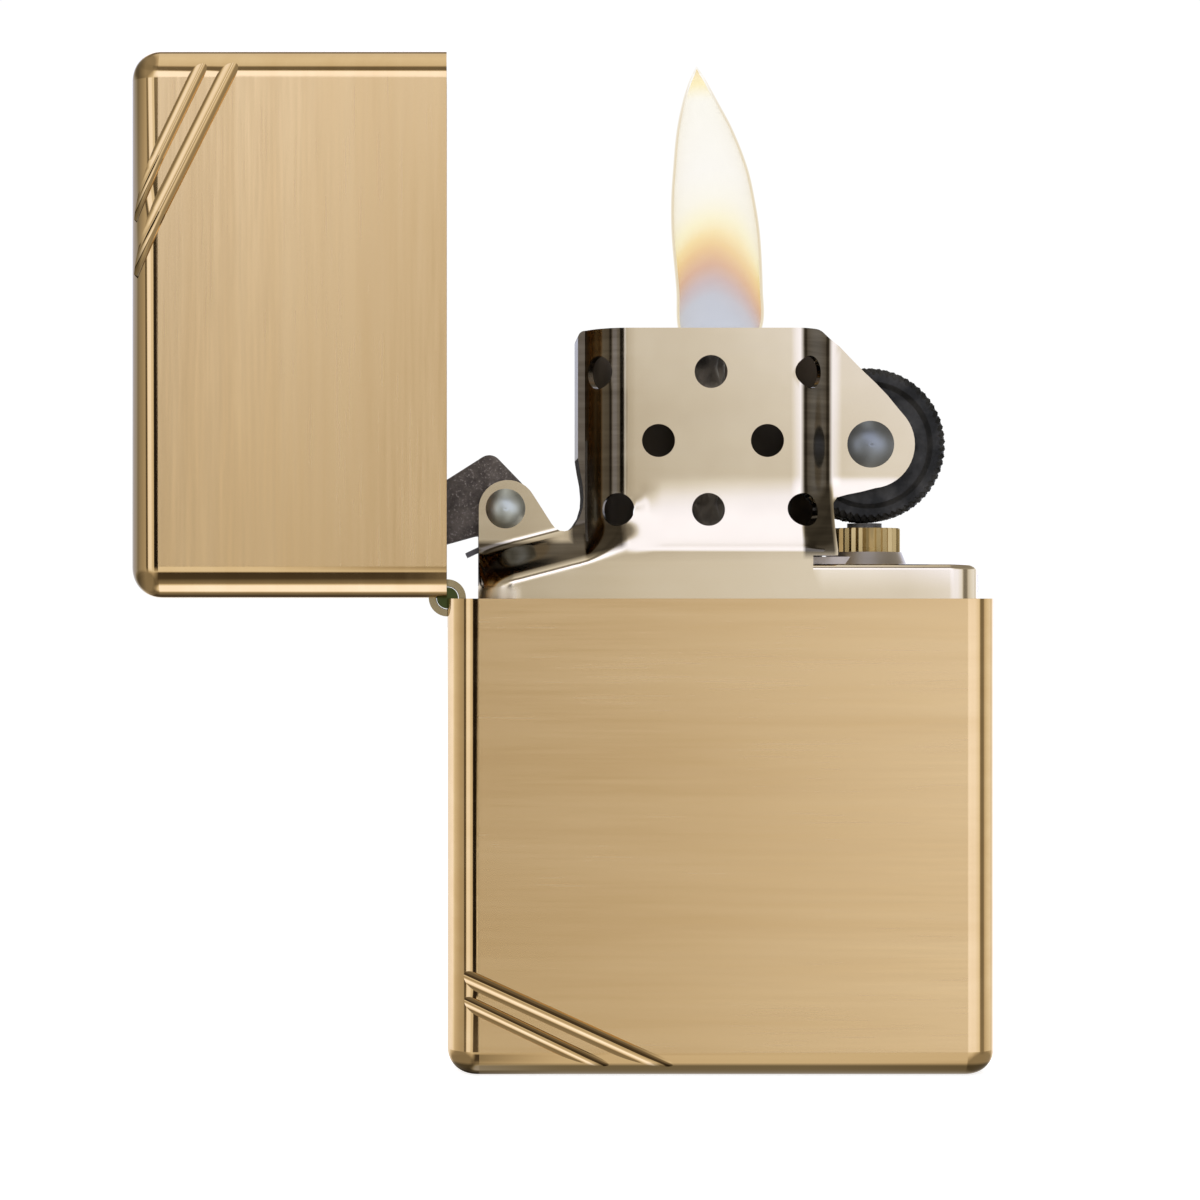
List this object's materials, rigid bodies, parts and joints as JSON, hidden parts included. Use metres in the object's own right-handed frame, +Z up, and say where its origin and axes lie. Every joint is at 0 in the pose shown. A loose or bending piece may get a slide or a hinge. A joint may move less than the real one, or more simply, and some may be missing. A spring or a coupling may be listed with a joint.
{
  "type": "flip-top petrol lighter",
  "caption": "Windproof flip-top petrol lighter with a brass case, hinged lid, perforated chimney, spark wheel and slanting corner grooves; lid open.",
  "frame": {"origin": "centre of the flat bottom of the case", "axes": "+Z up, out of the case; +X from the lid hinge towards the spark wheel; -Y is the front, so +Y points to the back"},
  "size_m": [0.0601, 0.0126, 0.0712],
  "materials": {
    "case_brass": "satin brushed faces with polished edges",
    "hinge_brass": "bright rolled strip, dark in the curls",
    "pin_steel": "dark drawn wire",
    "insert_steel": "polished stainless, warm reflections",
    "dark_steel": "dark plated",
    "tube_brass": "turned brass",
    "rivet_steel": "satin domed heads",
    "spring_steel": "blued spring steel",
    "felt": "pressed felt",
    "cotton": "loose cotton",
    "wick_cotton": "braided cotton, scorched at the tip",
    "wheel_steel": "black hardened steel with file teeth",
    "sintered_iron": "grainy sintered iron",
    "flint_metal": "matt grey ferrocerium"
  },
  "bodies": {
    "case": {"case_bottom": "case_brass", "hinge_leaf_case": "hinge_brass", "hinge_pin": "pin_steel"},
    "lid": {"lid": "case_brass", "hinge_leaf_lid": "hinge_brass", "lid_stop_plate": "insert_steel"},
    "insert": {"insert_housing": "insert_steel", "tube_flange": "dark_steel", "flint_tube": "tube_brass", "wheel_rivet": "rivet_steel", "cam_rivet": "rivet_steel", "cam_spring": "spring_steel", "cam_spring_rivet": "rivet_steel", "felt_pad": "felt", "packing_pads": "cotton", "wick": "wick_cotton"},
    "wheel": {"spark_wheel": "wheel_steel"},
    "cam": {"cam_lever": "sintered_iron"},
    "flint_stack": {"flint": "flint_metal", "flint_plunger": "tube_brass"},
    "spring_seat": {"flint_spring": "spring_steel"},
    "screw": {"flint_screw": "tube_brass"}
  },
  "joints": [
    {"name": "lid_hinge", "type": "hinge", "parent": "case", "child": "lid", "pos_m": [-0.01905, 0, 0.03315], "axis": [0, -1, 0], "range_deg": [-90, 15]},
    {"name": "insert_lift", "type": "slide", "parent": "case", "child": "insert", "axis": [0, 0, 1], "range_m": [0, 0.027]},
    {"name": "cam_pivot", "type": "hinge", "parent": "insert", "child": "cam", "pos_m": [-0.01496, 0, 0.03944], "axis": [0, -1, 0], "range_deg": [-90, 15], "deforming": ["cam_spring"]},
    {"name": "wheel_spin", "type": "hinge", "parent": "insert", "child": "wheel", "pos_m": [0.0107, 0, 0.04395], "axis": [0, 1, 0], "continuous": true},
    {"name": "flint_feed", "type": "slide", "parent": "insert", "child": "flint_stack", "axis": [0, 0, 1], "range_m": [-0.0015, 0], "stiffness_N_per_m": 300, "springref_m": 0.004, "deforming": ["flint_spring"]},
    {"name": "screw_travel", "type": "slide", "parent": "insert", "child": "spring_seat", "axis": [0, 0, -1], "range_m": [0, 0.001]},
    {"name": "screw_turn", "type": "hinge", "parent": "spring_seat", "child": "screw", "pos_m": [0.0107, 0, 0.0026], "axis": [0, 0, -1], "range_deg": [0, 720]}
  ],
  "couplings": [
    {"joint": "cam_pivot", "follows": "lid_hinge", "ratio": 1},
    {"joint": "screw_turn", "follows": "screw_travel", "rad_per_m": 12566}
  ]
}
